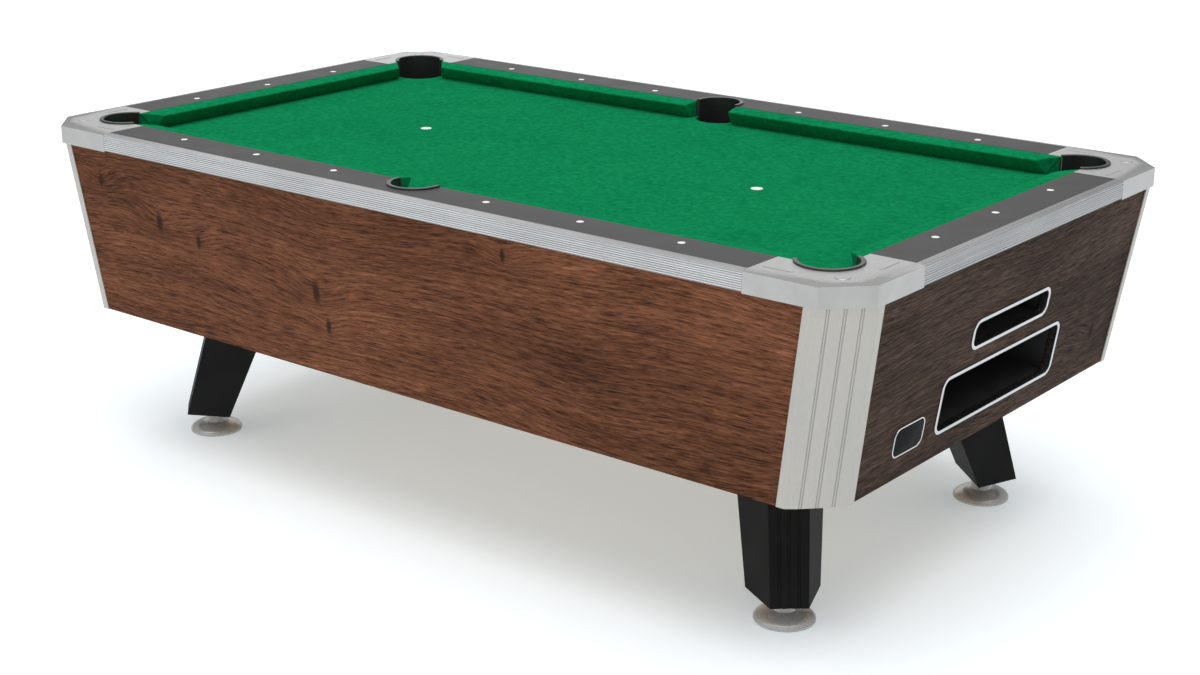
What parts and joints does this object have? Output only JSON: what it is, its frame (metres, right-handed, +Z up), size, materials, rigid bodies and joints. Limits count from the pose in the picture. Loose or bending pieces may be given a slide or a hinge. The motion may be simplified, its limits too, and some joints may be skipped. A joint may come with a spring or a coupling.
{
  "type": "pool table",
  "caption": "Pool table with lipped pockets, green bed cloth, a wooden cabinet that leans in, metal corners, and splayed legs on screw levelers.",
  "frame": {"origin": "on the floor, under the middle of the table", "axes": "+X along the length towards the foot end, which has the ball openings; +Y across, towards the far side; +Z up"},
  "size_m": [2.362, 1.346, 0.824],
  "materials": {
    "slate": "honed",
    "cloth": "woven wool blend, short nap",
    "cushion": "cloth stretched over rubber",
    "beam": "sawn, unfinished",
    "rail": "dark grey laminate, satin",
    "sight": "polished",
    "casting": "cast, fine texture",
    "trim": "extruded, satin",
    "liner": "moulded, satin",
    "cabinet_side": "dark walnut grain, satin",
    "cabinet_end": "dark walnut grain, satin",
    "post": "extruded, brushed",
    "bezel": "polished",
    "badge": "gloss with a raised bright rim",
    "tray": "fine texture",
    "runway": "fine texture",
    "leg": "black powder coat, satin",
    "steel": "zinc plated",
    "pad": "light grey, semi-gloss",
    "stem": "rolled thread, zinc plated",
    "spot": "thin adhesive spot"
  },
  "bodies": {
    "table": {"slate": "slate", "bed_cloth": "cloth", "slate_beams": "beam", "side_rail_near": "rail", "side_rail_far": "rail", "end_rail_head": "rail", "end_rail_foot": "rail", "cushion_near_head": "cushion", "cushion_near_foot": "cushion", "cushion_far_head": "cushion", "cushion_far_foot": "cushion", "cushion_head": "cushion", "cushion_foot": "cushion", "casting_near_head": "casting", "casting_near_foot": "casting", "casting_far_head": "casting", "casting_far_foot": "casting", "side_trim_near": "trim", "side_trim_far": "trim", "end_trim_head": "trim", "end_trim_foot": "trim", "sights": "sight", "liner_near_head": "liner", "liner_near_foot": "liner", "liner_far_head": "liner", "liner_far_foot": "liner", "liner_near_side": "liner", "liner_far_side": "liner", "side_panel_near": "cabinet_side", "side_panel_far": "cabinet_side", "head_panel": "cabinet_end", "foot_panel": "cabinet_end", "cabinet_floor": "beam", "corner_post_near_head": "post", "corner_post_near_foot": "post", "corner_post_far_head": "post", "corner_post_far_foot": "post", "upper_bezel": "bezel", "lower_bezel": "bezel", "badge": "badge", "shelf_box": "tray", "ball_tray": "tray", "runway_near": "runway", "runway_far": "runway", "cross_runway": "runway", "leg_near_head": "leg", "leg_near_foot": "leg", "leg_far_head": "leg", "leg_far_foot": "leg", "foot_plates": "steel", "leg_bolts": "steel", "rail_bolts": "steel"},
    "pad_near_head": {"pad_near_head": "pad"},
    "stem_near_head": {"stem_near_head": "stem"},
    "pad_near_foot": {"pad_near_foot": "pad"},
    "stem_near_foot": {"stem_near_foot": "stem"},
    "pad_far_head": {"pad_far_head": "pad"},
    "stem_far_head": {"stem_far_head": "stem"},
    "pad_far_foot": {"pad_far_foot": "pad"},
    "stem_far_foot": {"stem_far_foot": "stem"}
  },
  "joints": [
    {"name": "leveler_slide_near_head", "type": "slide", "parent": "table", "child": "pad_near_head", "axis": [0, 0, -1], "range_m": [0, 0.04]},
    {"name": "leveler_turn_near_head", "type": "hinge", "parent": "pad_near_head", "child": "stem_near_head", "pos_m": [-0.89, -0.421, 0.05], "axis": [0, 0, -1], "range_deg": [0, 5762]},
    {"name": "leveler_slide_near_foot", "type": "slide", "parent": "table", "child": "pad_near_foot", "axis": [0, 0, -1], "range_m": [0, 0.04]},
    {"name": "leveler_turn_near_foot", "type": "hinge", "parent": "pad_near_foot", "child": "stem_near_foot", "pos_m": [0.89, -0.421, 0.05], "axis": [0, 0, -1], "range_deg": [0, 5762]},
    {"name": "leveler_slide_far_head", "type": "slide", "parent": "table", "child": "pad_far_head", "axis": [0, 0, -1], "range_m": [0, 0.04]},
    {"name": "leveler_turn_far_head", "type": "hinge", "parent": "pad_far_head", "child": "stem_far_head", "pos_m": [-0.89, 0.421, 0.05], "axis": [0, 0, -1], "range_deg": [0, 5762]},
    {"name": "leveler_slide_far_foot", "type": "slide", "parent": "table", "child": "pad_far_foot", "axis": [0, 0, -1], "range_m": [0, 0.04]},
    {"name": "leveler_turn_far_foot", "type": "hinge", "parent": "pad_far_foot", "child": "stem_far_foot", "pos_m": [0.89, 0.421, 0.05], "axis": [0, 0, -1], "range_deg": [0, 5762]}
  ],
  "couplings": [
    {"joint": "leveler_turn_near_head", "follows": "leveler_slide_near_head", "rad_per_m": 2513.3},
    {"joint": "leveler_turn_near_foot", "follows": "leveler_slide_near_foot", "rad_per_m": 2513.3},
    {"joint": "leveler_turn_far_head", "follows": "leveler_slide_far_head", "rad_per_m": 2513.3},
    {"joint": "leveler_turn_far_foot", "follows": "leveler_slide_far_foot", "rad_per_m": 2513.3}
  ]
}
